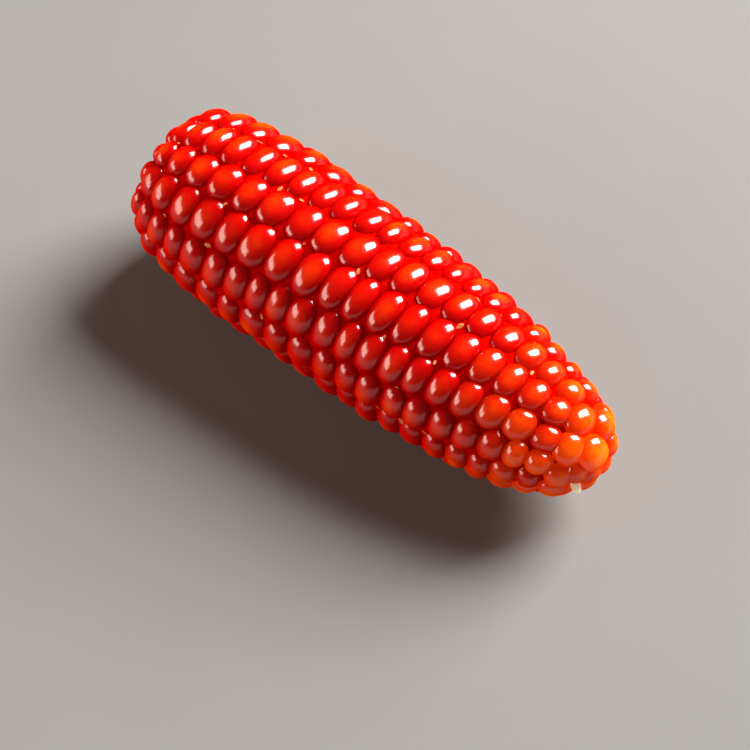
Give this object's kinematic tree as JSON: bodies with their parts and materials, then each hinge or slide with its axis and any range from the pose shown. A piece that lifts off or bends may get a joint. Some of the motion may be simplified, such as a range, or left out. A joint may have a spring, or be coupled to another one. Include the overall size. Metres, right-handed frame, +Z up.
{
  "type": "corn cob",
  "caption": "Short husked ear of ruby-red corn lying on its side, with long rows of kernels and a tapered tip.",
  "frame": {"origin": "on the surface the ear lies on, under the middle of its length and width", "axes": "+X along the ear from the butt to the tip, +Z up from the surface, +Y across the ear"},
  "size_m": [0.1044, 0.0363, 0.0362],
  "materials": {
    "kernel_skin": "glossy, translucent ruby red, orange towards the tip",
    "dry_cob": "matt, pale straw",
    "cut_cob": "matt, straw brown"
  },
  "bodies": {
    "root": {"ear": "kernel_skin", "cob_tip": "dry_cob", "cob_butt": "cut_cob"}
  },
  "joints": []
}
